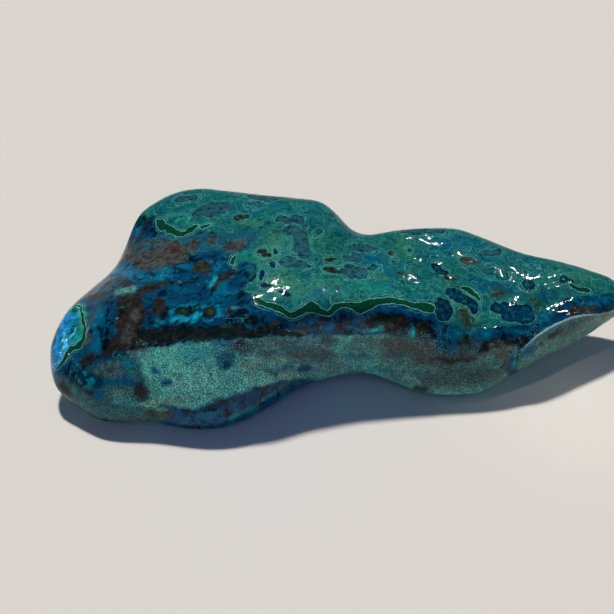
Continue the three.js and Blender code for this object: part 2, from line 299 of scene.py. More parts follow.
# dabs of colour, laid in order: paint, x, rise, half length, half height, turn, soft edge
dabs = [
    # cap: paler swirls, and where it is bluer or greener
    ("paleTeal", -24, 28, 7, 8, 0, 5), ("leaf", -22, 22, 9, 4, 0, 4),
    ("leaf", -12, 31, 6, 8, 0, 5), ("leaf", 17, 30, 6, 6, 0, 5), ("azure", 7.5, 27, 5, 4, 0, 5),
    ("azure", 34, 34, 9, 2.6, 0, 4), ("azure", 42, 20, 8, 3.4, 0, 4),
    ("leaf", 70, 25, 14, 2.4, -6, 4), ("lime", -26, 34, 2.4, 5, 0, 2),
    ("lime", -26.5, 27.5, 2.6, 2.4, 0, 1.6), ("lime", -23.6, 22.6, 3.2, 3.4, 0, 1.6),
    ("lime", -15, 19.6, 6, 1.8, 4, 1.6), ("lime", 7.4, 22.6, 2.6, 1.6, 10, 1.2),
    ("lime", 16.4, 35.6, 2.2, 2.6, 0, 2), ("lime", 34.4, 29.4, 1.4, 2.4, 0, 1),
    ("lime", -8, 20.6, 4, 1.2, 0, 1), ("lime", -34, 41, 5, 1, 0, 1),
    ("vivid", 4, 19, 6, 2.6, 0, 2), ("vivid", -17, 14.6, 4.6, 2, 12, 1),
    ("vivid", -33, 30, 4, 1.2, 0, 1), ("paleTeal", -12, 17, 12, 1.4, 0, 1.4),
    ("cyan", 10.3, 19.4, 1.3, 0.7, 0, 0.5), ("vivid", 47.8, 24, 1.8, 1.4, 0, 0.8),
    ("cyan", -17.4, 13.4, 2, 0.7, 14, 0.6), ("azure", 6, 29, 3, 1.2, 0, 1),
    ("azure", 16, 26.4, 3, 1.6, 0, 1.4), ("azure", 62, 17.6, 3, 2, 30, 2),
    ("olive", 45.4, 17.6, 3, 1.8, 0, 1.4), ("olive", 57, 13.4, 1.9, 3, 10, 1.2),
    ("olive", 33, 11.4, 2.6, 2.4, 0, 1.4), ("olive", 34.4, 7.6, 2, 2.6, 0, 1.2),
    ("vivid", 42, 9.6, 1.8, 1.6, 0, 1), ("lime", 36.6, 9.6, 1.4, 1, 0, 0.8),
    ("leaf", 16.4, 25, 2, 1, 0, 1), ("umber", 15.6, 24, 1.8, 0.6, -10, 0.5),
    # left end of the cap
    ("vivid", -60, 42, 3, 2.6, 0, 0.7), ("vivid", -55.6, 41.6, 2, 2.6, 0, 0.7),
    ("aqua", -58.8, 43.4, 1.8, 0.6, 20, 0.5), ("aqua", -55.4, 43, 0.6, 1.6, 0, 0.5),
    ("deepBlue", -57.8, 41.4, 0.7, 1.6, 10, 0.5), ("deepBlue", -62.4, 42.8, 0.8, 1.2, 0, 0.5),
    ("darkGreen", -62, 45, 2.4, 0.4, 4, 0.4), ("darkGreen", -55.4, 45, 1.8, 0.4, -10, 0.4),
    ("vivid", -50, 40.4, 4, 1.2, 4, 0.8), ("paleTeal", -58, 45.4, 6, 0.9, 0, 0.9),
    ("darkGreen", -72, 44.6, 4.4, 0.7, 2, 0.5), ("azure", -75, 40, 2.4, 1.8, 0, 1.2),
    # saddle
    ("slate", -69, 33.6, 6, 0.9, 8, 0.8), ("rust", -58.6, 32.4, 1.5, 1.2, 0, 1),
    ("taupe", -52.4, 33.8, 1.6, 2.4, 0, 1), ("taupe", -45.8, 35.2, 1.8, 1.3, 0, 1),
    ("taupe", -38.6, 33.4, 4, 1.8, 12, 1.4), ("umber", -72, 27.4, 1.4, 0.8, 0, 0.8),
    ("deepBlue", -45, 29.6, 7, 1.4, 0, 1),
    # upper left of the blue
    ("umber", -56, 27.2, 3.4, 0.45, 20, 0.35), ("olive", -48.6, 26, 2.8, 1.7, 0, 0.8),
    ("umber", -48, 27, 1.2, 0.7, 0, 0.5), ("umber", -46.6, 24.8, 1, 0.6, 0, 0.5),
    ("azure", -43.6, 26.6, 1.4, 2.4, -20, 0.8), ("azure", -62, 23, 6, 1, 5, 0.8),
    ("olive", -79.5, 21.2, 2.4, 0.7, 0, 0.5),
    ("umber", -71.6, 21, 3, 0.7, 6, 0.5), ("umber", -81, 17, 3.6, 0.9, 14, 0.6),
    ("greyGrain", -71.6, 18.8, 4, 1.3, 10, 0.9), ("umber", -64.6, 18.8, 3.8, 1.3, 18, 0.7),
    ("umber", -67, 16.4, 2.2, 1, 0, 0.7), ("olive", -60, 20.6, 1.8, 0.7, 0, 0.5),
    ("umber", -52.4, 20.8, 1.6, 0.5, 20, 0.4), ("soot", -56.4, 19, 1.4, 0.5, 0, 0.4),
    ("deepBlue", -50, 17.5, 9, 4, 0, 2), ("azure", -41, 17.5, 3, 3, 0, 2),
    ("umber", -39.4, 23.2, 3.2, 0.9, 20, 0.4), ("umber", -42.6, 21, 0.9, 2.4, -18, 0.4),
    ("soot", -43.6, 18, 0.5, 1.6, -14, 0.4), ("cyan", -43.9, 21.6, 0.4, 2.6, -18, 0.5),
    ("umber", -59.4, 13.6, 2.4, 2.4, -20, 0.7), ("soot", -57, 11.6, 1.2, 1.4, 0, 0.6),
    ("azure", -47.6, 12.4, 8, 2.4, 0, 0.9), ("cyan", -51.4, 12, 3.9, 2.2, 0, 0.4),
    ("deepBlue", -51.4, 12, 3.5, 1.9, 0, 0.3), ("cyan", -43.4, 12, 2.9, 2.4, 0, 0.4),
    ("deepBlue", -43.4, 12, 2.5, 2.1, 0, 0.3), ("soot", -51.4, 11.7, 2.6, 1.3, 0, 0.5),
    ("olive", -51.4, 11.7, 1.9, 0.7, 0, 0.4), ("soot", -43.6, 12, 1.9, 1.4, 0, 0.5),
    ("olive", -43.4, 11.9, 1.3, 0.9, -12, 0.4), ("cyan", -58.2, 8.8, 1.7, 0.6, 0, 0.5),
    ("cyan", -50.6, 9.2, 3.6, 0.8, 0, 0.6), ("cyan", -53.6, 10, 1.4, 0.7, 0, 0.5),
    ("cyan", -47.4, 11, 0.7, 1.1, 0, 0.5), ("cyan", -40.4, 11.4, 0.7, 1.3, 0, 0.5),
    ("soot", -52.8, 8.9, 0.9, 0.5, 0, 0.3), ("umber", -37.4, 12.6, 1, 0.8, 10, 0.4),
    ("paleTeal", -36.4, 13.2, 1.2, 0.3, 20, 0.3), ("soot", -34, 10, 2.4, 1.8, 0, 0.8),
    ("navy", -36.4, 9.4, 3, 1.6, 0, 1), ("soot", -30.8, 9.6, 1.4, 1.6, 0, 0.6),
    ("umber", -34, 7.6, 1, 1, 0, 0.5), ("cyan", -31, 7.2, 0.9, 0.8, 0, 0.5),
    # blue under the ribbon, and brown eyes in it
    ("deepBlue", -25, 11, 4.6, 1.4, 8, 0.8), ("navy", -23.4, 8.2, 3.4, 1.6, 0, 1),
    ("umber", -25.8, 7.4, 1.2, 1.2, 0, 0.5), ("olive", -24.6, 9, 1.6, 0.7, 0, 0.5),
    ("umber", -20.8, 5.6, 4.4, 0.8, -3, 0.5), ("deepBlue", -12, 9.4, 9, 1.6, 0, 1),
    ("azure", -15, 8.4, 2.6, 0.6, 0, 0.5), ("rust", -16.2, 6.8, 1.6, 0.7, -4, 0.4),
    ("umber", -14.6, 5.9, 1.8, 0.5, -8, 0.4), ("rust", -11.5, 8, 1, 0.6, 10, 0.4),
    ("olive", -10.6, 8.4, 1.2, 0.4, 0, 0.3), ("rust", -4.4, 7.4, 1.7, 1, 14, 0.5),
    ("azure", -8, 7, 1.4, 1, 0, 0.8), ("azure", -1, 7.6, 1.6, 1.6, 0, 0.8),
    ("deepBlue", -4.4, 9.8, 3, 1.4, 0, 0.8), ("cyan", -14.8, 4.7, 2.4, 0.3, 0, 0.3),
    ("cyan", -13.6, 3.7, 2.6, 0.3, -2, 0.3), ("rust", -12.6, 2.7, 3, 0.5, 0, 0.5),
    # the end: lens with painted highlight streaks, blue beside it, brown column
    ("lensTeal", -85.4, 7.6, 2.6, 5, -14, 0.9), ("teal", -85, 8, 1, 2.6, -10, 0.8),
    ("vivid", -84.2, 5, 0.9, 2.2, 6, 0.7), ("vivid", -85.6, 3.4, 1.6, 0.6, 8, 0.5),
    ("lensTeal", -88.6, 13, 2.6, 2, 0, 1.2), ("paleTeal", -86, 12, 0.6, 1.8, -14, 0.5),
    # painted highlight streaks on the lens
    ("cyan", -89.4, 3.6, 1.4, 1.6, -30, 0.9), ("lensPale", -89.3, 4.4, 1.6, 0.3, -38, 0.3),
    ("lensPale", -89.1, 0.8, 2.8, 0.35, 66, 0.3), ("lensPale", -87.2, 4.8, 1.7, 0.2, 62, 0.25),
    ("lensPale", -90.6, -2.8, 1.2, 0.25, 60, 0.25), ("darkTeal", -93.2, 5, 0.8, 7, 6, 0.7),
    ("taupe", -81.2, 8, 0.7, 3.6, -8, 0.6), ("taupe", -80.6, 3.4, 0.9, 1.8, -20, 0.7),
    ("greyGrain", -81.4, 6.6, 0.5, 1, 30, 0.4), ("azure", -78.4, 9.4, 2.2, 4, 0, 1.2),
    ("azure", -76.4, 2.6, 2.2, 3.4, -30, 1), ("soot", -74, 4, 0.9, 4, -10, 0.6),
    ("deepBlue", -84, -3, 3.4, 1, -35, 0.8), ("taupe", -67.8, 5.6, 1.7, 3.4, 0, 1),
    ("taupe", -65.8, 10.6, 1.1, 2.4, 0, 0.8), ("soot", -71, 12.6, 1.2, 2, 0, 0.8),
    ("umber", -88, -10.6, 3.4, 1.6, -40, 0.8), ("slate", -90.4, -8.4, 2, 1.2, -40, 0.6),
    # below it: dark ground with bright veins
    ("navy", -80, -8, 6.5, 3.2, -12, 1.5), ("dimGrain", -72, -5, 5, 2, 10, 1.4),
    ("azure", -66.5, -3.4, 2, 1.5, 0, 0.7), ("cyan", -82.8, -4.2, 1.8, 0.3, -38, 0.3),
    ("cyan", -80.2, -6.5, 1.7, 0.3, -44, 0.3), ("cyan", -78.2, -8.2, 1.3, 0.35, -38, 0.3),
    ("azure", -79.4, -10.2, 2.2, 1.2, -20, 0.7), ("azure", -77, -12.4, 2.4, 1, 0, 0.8),
    ("lensTeal", -81, -9.4, 1.8, 0.5, -30, 0.4), ("aqua", -82.4, -8.4, 0.8, 0.3, -50, 0.2),
    ("lensTeal", -78.4, -9.6, 0.7, 1.4, 0, 0.4), ("azure", -74.6, -11.6, 1, 2.2, -14, 0.6),
    ("azure", -71.6, -8, 2.8, 0.9, 24, 0.6), ("azure", -66.6, -8.4, 3, 0.9, -16, 0.6),
    ("greyGrain", -69, -12, 3.6, 1.8, 0, 1.2), ("plum", -62.6, -11.4, 1.8, 1.8, 0, 0.8),
    ("navy", -63.4, -9, 1.4, 1, 0, 0.6), ("umber", -78.4, -11.6, 1.6, 0.8, 0, 0.6),
    ("dimTeal", -72, -17, 15, 2.6, -3, 1.8), ("sand", -60, -14.6, 3.6, 1.2, 0, 0.8),
    ("umber", -63.4, -11, 1.3, 2.4, 10, 0.7), ("dimTeal", -55.6, -15.2, 2.6, 0.8, 0, 0.5),
    ("clearGrain", -67, -14.4, 4, 0.8, -6, 0.7), ("lensTeal", -66.6, -3.2, 1.4, 2, 0, 0.6),
    ("taupe", -56.6, -18, 2.8, 1.3, 0, 1), ("olive", -60, -17.6, 2, 0.9, 0, 0.8),
    ("umber", -78, -19.6, 8, 0.9, -8, 0.7), ("dimGrain", -66, -19.6, 7, 1, 0, 0.7),
    # the face
    ("clearGrain", -47.4, 0, 4.6, 3.6, 0, 2.4), ("greyGrain", -16, 0, 15, 4.4, 0, 3.4),
    ("dimGrain", 24, -1, 18, 4.4, 0, 4), ("greyGrain", -6, -6, 20, 2.4, 0, 2),
    ("paleGrain", -46, -8, 9, 3.4, 0, 3), ("dimGrain", -63.6, 1, 3, 1.6, 20, 1.2),
    ("umber", -57.6, 4.6, 7, 1, 4, 0.8), ("blueGrain", -39.6, 3.4, 4, 1.6, 0, 1.2),
    ("blueGrain", -38.6, -1.6, 2.8, 2.8, 0, 1.2), ("navy", -37.8, -3.4, 1.2, 0.6, -15, 0.9),
    ("dimGrain", -32.4, 2, 4.6, 2.2, 0, 1.4), ("plum", -34, 3, 1.8, 1, 10, 0.8),
    ("greyGrain", -28.4, 3.4, 3, 1, 0, 0.8), ("azure", -58.6, -5, 1.5, 0.9, 0, 0.6),
    ("azure", -55.4, -8, 1.7, 0.8, 0, 0.6), ("navy", -25, -6.4, 1.9, 1, -18, 1.2),
    ("blueGrain", -20.6, -4.6, 1.6, 0.9, 0, 0.8),
    ("deepBlue", -16, -5.4, 2.4, 1.2, 8, 0.7), ("sand", -31.4, -3.4, 3.4, 2, 0, 1.2),
    ("paleGrain", -30, -7.2, 5, 1.6, 0, 1), ("sand", -23.6, -3, 2.4, 0.9, 0, 0.8),
    ("sand", -20, -7, 2.4, 0.8, 0, 0.6), ("sand", -52, -13.4, 5, 1, 6, 1),
    ("dimGrain", -26.4, 0.2, 2, 1.2, 0, 1.2), ("blueGrain", -19.4, 1.2, 4, 1.2, 0, 1),
    ("dimGrain", -22, 3, 5, 1, 0, 1), ("navy", -10.6, -1.6, 1.6, 1.3, 0, 1.4),
    ("plum", -9, -0.6, 1.4, 1, 0, 0.7), ("dimGrain", -8.6, 3, 3, 1.4, 0, 1.2),
    ("dimGrain", -14, -1, 8, 2, -4, 2), ("clearGrain", -4, 0.6, 3.4, 1.4, 0, 1.2),
    ("blueGrain", 1, -2, 5, 0.9, 0, 0.8), ("dimGrain", 4, 2.6, 6, 1.4, 0, 1.4),
    ("greyGrain", 4, 1, 6, 2.4, 0, 2), ("brownGrain", 12, 1.6, 5, 1.8, 0, 1.4),
    ("clearGrain", 5, -5.6, 5, 1.2, 0, 1.2), ("blueGrain", 11, -6.4, 4, 0.8, -14, 0.7),
    ("brownGrain", 19.6, 1, 3.6, 2.4, 0, 1.6), ("greyGrain", 14, -3.4, 5, 1.2, 0, 1),
    ("greyGrain", 28, -8, 18, 3.4, 0, 3), ("dimGrain", 33, -8, 14, 4, 6, 4.5),
    ("brownGrain", 24, -3.4, 6, 1.4, -8, 1.2), ("umber", 30, -2.6, 7, 0.9, 2, 0.7),
    ("brownGrain", 43, -0.6, 6, 2.8, 10, 1.6), ("umber", 38.4, 0.3, 2, 0.9, 30, 0.6),
    ("greyGrain", 41, -2.6, 2, 1.4, 0, 0.8), ("brownGrain", 46.4, -4, 1.8, 2.6, 0, 1),
    ("azure", 48.4, -3, 0.9, 2.6, 6, 0.5), ("aqua", 48.9, -2.4, 0.3, 1.2, 0, 0.3),
    ("deepBlue", 48, -6.4, 1.2, 2, 10, 0.6), ("olive", 20, -12, 2.6, 0.9, 0, 0.8),
    ("sand", 18, -9, 3, 0.7, -20, 0.7),
    # rim
    ("deepBlue", -33, -13.8, 16, 2.6, 14, 1), ("navy", -40, -18, 6, 0.8, 10, 0.7),
    ("azure", -52.6, -17.4, 0.9, 2.6, 0, 0.5), ("azure", -46, -18.2, 5, 1, 6, 0.6),
    ("azure", -43, -17.2, 4, 0.6, 8, 0.5), ("soot", -49.6, -16.2, 1.6, 0.7, 0, 0.5),
    ("umber", -40, -14.5, 2.6, 0.6, 16, 0.5), ("plum", -40.2, -14.4, 1, 0.5, 0, 0.4),
    ("umber", -28.4, -10.2, 2.6, 0.6, 14, 0.5), ("teal", -25, -12.6, 5, 0.8, 22, 0.7),
    ("teal", -34, -17.4, 6, 0.8, 16, 0.7), ("slate", -18, -9.6, 6, 0.8, 12, 0.7),
    ("umber", -46, -22.6, 5, 0.7, 0, 0.6),
    # pocket under the arch
    ("archBlue", 0, 10.6, 4, 1.4, 0, 0.6), ("archBlue", 8, 12.4, 6.4, 1.5, 2, 0.6),
    ("archBlue", 17, 11.4, 5, 1.5, -12, 0.6), ("archBlue", 23.6, 9, 2.4, 2, -40, 0.7),
    ("azure", 25.2, 5.6, 1.3, 3, 0, 0.7), ("azure", -1, 8.2, 1.8, 1.8, 0, 0.8),
    ("umber", 9.4, 8.4, 6.6, 2.4, 0, 0.5), ("soot", 9.6, 10.5, 6, 0.9, -3, 0.5),
    ("soot", 12, 6.8, 3.4, 1, 0, 0.6), ("darkGreen", 8, 9.4, 3, 0.6, 0, 0.4),
    ("taupe", 8.6, 8, 3, 0.5, 0, 0.4), ("taupe", 2, 8.4, 0.6, 1.4, 0, 0.4),
    ("rust", 12.9, 9.4, 0.9, 0.7, 0, 0.3), ("rust", 15, 7.4, 0.5, 1.8, 0, 0.3),
    ("darkGreen", 14, 7.6, 0.5, 2, 0, 0.3), ("aqua", 6.6, 6.4, 1.9, 0.65, 4, 0.3),
    ("aqua", 4, 6.5, 1.2, 0.25, 4, 0.25), ("azure", 0, 5.8, 1, 0.9, 0, 0.4),
    ("aqua", 1.8, 6, 0.4, 0.4, 0, 0.3), ("azure", 16.9, 7.4, 0.6, 1.5, 0, 0.3),
    ("aqua", 16.5, 5.6, 0.8, 1.9, -6, 0.3), ("olive", 20, 6.6, 2.4, 2.2, -6, 0.4),
    ("soot", 18, 9.3, 1.6, 0.4, -6, 0.3), ("soot", 22.4, 7, 0.6, 1.6, 24, 0.4),
    ("rust", 23.2, 5.2, 0.4, 0.6, 0, 0.3), ("dimGrain", 12, 3.6, 5, 1.4, 0, 1),
    # the blue below the cap, on the right
    ("azure", 28, 4, 4, 4, 0, 1.6), ("azure", 40, 5.4, 14, 1.4, 0, 1.2),
    ("olive", 32.6, 2.8, 1.6, 1.2, 0, 0.7), ("soot", 33.4, 4.4, 0.6, 0.8, 0, 0.4),
    ("navy", 46, 5, 5, 0.9, 0, 0.8), ("azure", 58, 9, 6, 1.4, 35, 1),
    ("navy", 66, 12.4, 2.4, 1.2, 30, 0.8), ("azure", 82, 15.4, 12, 1.4, 2, 1),
    ("navy", 76, 15.6, 4, 0.7, 0, 0.6), ("cyan", 53, 0.6, 2.6, 1, 38, 0.6),
    # a small painted sheen spot below the start of the ridge
    ("azure", 54, 0, 3.2, 1.6, 30, 0.6), ("haze", 50.6, -1, 1, 0.8, 0, 0.5),
    ("rust", 57.8, 1.8, 1, 0.8, 0, 0.4), ("brownGrain", 63, 4.6, 3.4, 1.2, 28, 0.8),
    ("taupe", 75.6, 12.4, 4, 0.7, 4, 0.8), ("umber", 62, 4.4, 2, 0.8, 30, 0.6),
    ("olive", 84, 11, 3, 0.8, 10, 0.8), ("dimGrain", 70, 7, 8, 1.6, 24, 1.6),
    ("teal", 50.6, -2.6, 0.9, 2.4, 0, 0.6),
]

# dark seams: lines of (x, rise, half width)
seams = [
    [
        (-63, 5.2, 1.8), (-55, 5.3, 2.4), (-48, 5.6, 2.2), (-40, 6.1, 2.1), (-34, 6.4, 1.8),
        (-28, 6.2, 1.1), (-22, 5.8, 0.6), (-17, 5.3, 0.2),
    ],
    [(-66, 1.6, 0.8), (-60, 2.4, 0.5), (-54, 2.8, 0.4)],
    [
        (3, 8.8, 0.3), (5, 10, 0.5), (10, 10.7, 0.5), (15, 10.2, 0.5), (19, 9.2, 0.5),
        (22, 7, 0.4), (23.2, 5, 0.4), (23, 3.6, 0.3),
    ],
    [
        (38, 0.6, 0.4), (40, 2.6, 0.6), (43, 3.6, 0.6), (46, 3, 0.5), (50, 3, 0.5),
        (53, 3.4, 0.3),
    ],
]

# the sharp ridge over the right facet, as (x, rise, half width); it is raised a little and carries a
# painted highlight
ridge = [
    [
        (50, 0, 0.1), (52.5, 1.6, 0.4), (56, 4.3, 0.5), (60, 6.4, 0.5), (64, 8.1, 0.5),
        (69, 9.8, 0.5), (74, 10.7, 0.5), (80, 11.1, 0.4), (86, 12.4, 0.3), (94, 14.8, 0.2),
    ],
]

# the hidden side carries the same layers: where the cap ends there, as (x, height)
backBorder = [
    (-96, 12), (-75, 20), (-50, 26), (-20, 26), (0, 22), (30, 22), (60, 17), (96, 13),
]

markings = {
    "reach": 7.0,  # how far a mark is felt
    "wobble": ((4.5, 0.6), (1.6, 0.3)),  # size and depth of the unevenness of every edge
    "dabWobble": (2.4, 0.8),
    "eyeWobble": (3.0, 0.9),
    "shown": (-0.4, -0.12),  # how far a point may turn from the show side and keep its marks
    "softEdges": {"cap": 0.3, "grain": 0.4, "facet": 0.3},
}

# sizes, depths and levels in millimetres, counted down from the border of the cap
hiddenSide = {
    "waver": ((16, 4), (5, 1.2)),
    "eyes": (8, (31, 7, 3), 0.30, 7),  # size, place in the noise, how many, edge slope
    "patches": (18, (5, 40, 9)),
    "blotches": (9, (70, 12, 20), 0.35, 0.5),
    "azure": (0.1, 0.4, 0.7),
    "grainFrom": 8.5,
    "grainInPatch": (0.18, 14),
    "seamAt": 7.4,
    "seamHalf": 1.0,
    "ribbonHalf": 0.9,
    "haloWidth": 1.6,
}


def ease(low, high, value):
    t = min(max((value - low) / (high - low), 0.0), 1.0)
    return t * t * (3 - 2 * t)


def between(points, x):
    if x <= points[0][0]:
        return points[0][1]
    for (x0, y0), (x1, y1) in zip(points, points[1:]):
        if x <= x1:
            return y0 + (y1 - y0) * (x - x0) / (x1 - x0)
    return points[-1][1]


def ellipseGap(x, rise, mark):
    cx, cy, halfLong, halfHigh, turn = mark
    c, s = math.cos(math.radians(turn)), math.sin(math.radians(turn))
    dx, dy = x - cx, rise - cy
    u, v = dx * c + dy * s, dy * c - dx * s
    near = math.hypot(u / halfLong, v / halfHigh)
    slope = math.hypot(u / halfLong**2, v / halfHigh**2)
    return near * (near - 1) / slope if slope > 1e-6 else -min(halfLong, halfHigh)


def segmentGap(x, rise, a, b):
    ax, ay = a[0], a[1]
    bx, by = b[0] - ax, b[1] - ay
    along = ((x - ax) * bx + (rise - ay) * by) / (bx * bx + by * by)
    along = min(max(along, 0.0), 1.0)
    gap = math.hypot(x - ax - along * bx, rise - ay - along * by)
    if len(a) > 2:
        gap -= a[2] + (b[2] - a[2]) * along
    return gap


# sorts marks into columns a millimetre wide, so that each point only looks at those near it
def sortByColumn(items, spanOf):
    columns = {}
    for item in items:
        low, high = spanOf(item)
        first = math.floor(low - markings["reach"])
        for column in range(first, math.ceil(high + markings["reach"])):
            columns.setdefault(column, []).append(item)
    return columns


def lineColumns(lines):
    return sortByColumn(lines, lambda e: (min(e[0][0], e[1][0]), max(e[0][0], e[1][0])))


def zoneColumns(zone):
    return lineColumns(list(zip(zone, zone[1:] + zone[:1])))


def zoneGap(columns, x, rise):
    gap, inside = markings["reach"], False
    for a, b in columns.get(math.floor(x), ()):
        gap = min(gap, segmentGap(x, rise, a, b))
        crosses = (a[0] > x) != (b[0] > x)
        if crosses and rise < a[1] + (b[1] - a[1]) * (x - a[0]) / (b[0] - a[0]):
            inside = not inside
    return -gap if inside else gap


def strokeColumns(strokes):
    return lineColumns([pair for stroke in strokes for pair in zip(stroke, stroke[1:])])


def strokeGap(columns, x, rise):
    gap = markings["reach"]
    for a, b in columns.get(math.floor(x), ()):
        gap = min(gap, segmentGap(x, rise, a, b))
    return gap


def ellipseColumns(ellipses):
    return sortByColumn(ellipses, lambda e: (e[-5] - e[-3], e[-5] + e[-3]))


def mixPaint(a, b, share):
    return tuple(p + (q - p) * share for p, q in zip(a, b))


def noiseAt(place, size, shift):
    return noise.noise((place + Vector(shift)) / size)


def pushed(place, x, rise, wobble, axis="y"):
    size, depth = wobble
    push = noise.noise_vector(place / size)
    return x + push.x * depth, rise + getattr(push, axis) * depth


def markStone(piece):
    capColumns, grainColumns, facetColumns = map(zoneColumns, (capZone, grainZone, facetZone))
    malachiteColumns, seamColumns, ridgeColumns = map(strokeColumns, (malachite, seams, ridge))
    patchColumns = [(name, soft, zoneColumns(zone)) for name, soft, zone in patches]
    eyeColumns = ellipseColumns([(name, *mark) for name in eyes for mark in eyes[name]])
    haloColumns = ellipseColumns(halos)
    dabColumns = sortByColumn(dabs, lambda d: (d[1] - d[3], d[1] + d[3]))
    pitch = math.radians(view["pitch"])
    towards = Vector((0, -math.cos(pitch), math.sin(pitch)))
    reach, softEdges = markings["reach"], markings["softEdges"]
    colours = ("tint", "eyeTint")
    values = ("cap", "eye", "halo", "malachite", "seam", "grain", "ridge")
    out = {key: [] for key in colours + values}
    for point in piece.data.vertices:
        x, y, z = (value / mm for value in point.co)
        place = Vector((x, y, z))
        show = ease(*markings["shown"], point.normal.dot(towards))
        wx = wy = 0
        for size, depth in markings["wobble"]:
            push = noise.noise_vector(place / size)
            wx += push.x * depth
            wy += push.y * depth
        flatRise = y * math.sin(pitch) + z * math.cos(pitch)
        px, pr = x + wx, flatRise + wy
        dx, dr = pushed(place, px, pr, markings["dabWobble"])
        ex, er = pushed(place, px, pr, markings["eyeWobble"], "z")

        # show side
        cap = -zoneGap(capColumns, px, pr)
        grain = -zoneGap(grainColumns, px, pr)
        facet = -zoneGap(facetColumns, px, pr)
        green = strokeGap(malachiteColumns, px, pr)
        seam = strokeGap(seamColumns, px, pr)
        colour = paint["deepBlue"]
        for name, gap, key in (("teal", cap, "cap"), ("turquoise", grain, "grain"),
                               ("greyGrain", facet, "facet")):
            soft = softEdges[key]
            colour = mixPaint(colour, paint[name], ease(-soft, soft, gap))
        for name, soft, columns in patchColumns:
            gap = zoneGap(columns, dx, dr)
            if gap < soft:
                colour = mixPaint(colour, paint[name], ease(soft, -soft, gap))
        for name, *ellipse, soft in dabColumns.get(math.floor(dx), ()):
            gap = ellipseGap(dx, dr, ellipse)
            if gap < soft:
                colour = mixPaint(colour, paint[name], ease(soft, -soft, gap))
        eye, eyeColour = reach, paint["slate"]
        for name, *ellipse in eyeColumns.get(math.floor(ex), ()):
            gap = ellipseGap(ex, er, ellipse)
            if gap < eye:
                eye, eyeColour = gap, paint[name]
        halo = min([ellipseGap(ex, er, e) for e in haloColumns.get(math.floor(ex), ())] + [reach])

        # hidden side
        if show < 1:
            side = hiddenSide
            waver = sum(noise.noise(place / size) * depth for size, depth in side["waver"])
            level = z - between(backBorder, x) + waver
            size, shift, many, slope = side["eyes"]
            spots = (many - noiseAt(place, size, shift)) * slope
            patch = noiseAt(place, *side["patches"])
            size, shift, *blotchEdge = side["blotches"]
            blotch = noiseAt(place, size, shift)
            low, high, share = side["azure"]
            most, slope = side["grainInPatch"]
            hiddenGrain = min(-side["grainFrom"] - level, (most - patch) * slope)
            hidden = mixPaint(paint["deepBlue"], paint["teal"], ease(-0.4, 0.4, level))
            hidden = mixPaint(hidden, paint["azure"], ease(low, high, patch) * share)
            hidden = mixPaint(hidden, paint["turquoise"], ease(-0.6, 0.6, hiddenGrain))
            hidden = mixPaint(hidden, paint["umber"], ease(*blotchEdge, blotch))
            hiddenSeam = abs(level + side["seamAt"]) - side["seamHalf"] - blotch
            hiddenGreen = abs(level) - side["ribbonHalf"] - patch
            hiddenHalo = spots - side["haloWidth"]
            colour = mixPaint(hidden, colour, show)
            eyeColour = mixPaint(paint["slate"], eyeColour, show)
            cap, grain, eye, halo, green, seam = (
                back + (front - back) * show for back, front in (
                    (level, cap), (hiddenGrain, grain), (spots, eye), (hiddenHalo, halo),
                    (hiddenGreen, green), (hiddenSeam, seam)))
        grain = max(grain, facet if show > 0.5 else -reach)
        # nearness to the ridge: it raises the ridge a little and paints a highlight along it
        ridgeAndPaintedShine = ease(0.7, -0.3, strokeGap(ridgeColumns, x, flatRise)) * show
        for key, value in zip(values, (cap, eye, halo, green, seam, grain, ridgeAndPaintedShine)):
            out[key].append(min(max(value, -reach), reach))
        out["tint"].extend((*colour, 1.0))
        out["eyeTint"].extend((*eyeColour, 1.0))
    for key in colours:
        layer = piece.data.color_attributes.new(key, "FLOAT_COLOR", "POINT")
        layer.data.foreach_set("color", out[key])
    for key in values:
        layer = piece.data.attributes.new(key, "FLOAT", "POINT")
        layer.data.foreach_set("value", out[key])
    return out


marks = markStone(stone)
print("markings laid")


# relief left by polishing: shallow dents, a fine ripple over the cap, and a hollow along the seams
def weightGroup(piece, name, weights):
    group = piece.vertex_groups.new(name=name)
    for index, weight in enumerate(weights):
        if weight > 0:
            group.add([index], weight, "REPLACE")


def clouds(name, size):
    texture = bpy.data.textures.new(name, "CLOUDS")
    texture.noise_scale = size
    texture.noise_depth = 2
    return texture


weightGroup(stone, "hollow", [ease(*stoneShape["hollowEdge"], gap) for gap in marks["seam"]])
weightGroup(stone, "capSkin", [ease(*stoneShape["rippleEdge"], gap) for gap in marks["cap"]])
weightGroup(stone, "ridge", marks["ridge"])
useModifier(stone, "DISPLACE", texture=clouds("dents", stoneShape["dentSize"]),
            strength=stoneShape["dentDepth"], mid_level=0.5)
useModifier(stone, "DISPLACE", texture=clouds("ripple", stoneShape["ripple"]),
            strength=stoneShape["rippleDepth"], mid_level=0.5, vertex_group="capSkin")
useModifier(stone, "DISPLACE", strength=-stoneShape["hollowDepth"], mid_level=0.0,
            vertex_group="hollow")
useModifier(stone, "DISPLACE", strength=stoneShape["ridgeHeight"], mid_level=0.0,
            vertex_group="ridge")


# the underside is ground flat where the stone rests
def grindBase(piece):
    for point in piece.data.vertices:
        point.select = point.co.z < stoneShape["groundBelow"]
    for polygon in piece.data.polygons:
        polygon.select = False
    for edge in piece.data.edges:
        edge.select = False
    bpy.ops.object.mode_set(mode="EDIT")
    bpy.ops.mesh.select_mode(type="VERT")
    bpy.ops.transform.resize(value=(1, 1, 0), center_override=(0, 0, 0))
    bpy.ops.object.mode_set(mode="OBJECT")
    bpy.ops.object.shade_smooth()


grindBase(stone)
print("relief done")


def put(tree, kind, **inputs):
    node = tree.nodes.new(kind)
    for key, value in inputs.items():
        setSocket(tree, node.inputs[key.replace("_", " ")], value)
    return node


def setSocket(tree, socket, value):
    if isinstance(value, bpy.types.NodeSocket):
        tree.links.new(value, socket)
    elif socket.type == "RGBA" and len(value) == 3:
        socket.default_value = (*value, 1)
    else:
        socket.default_value = value


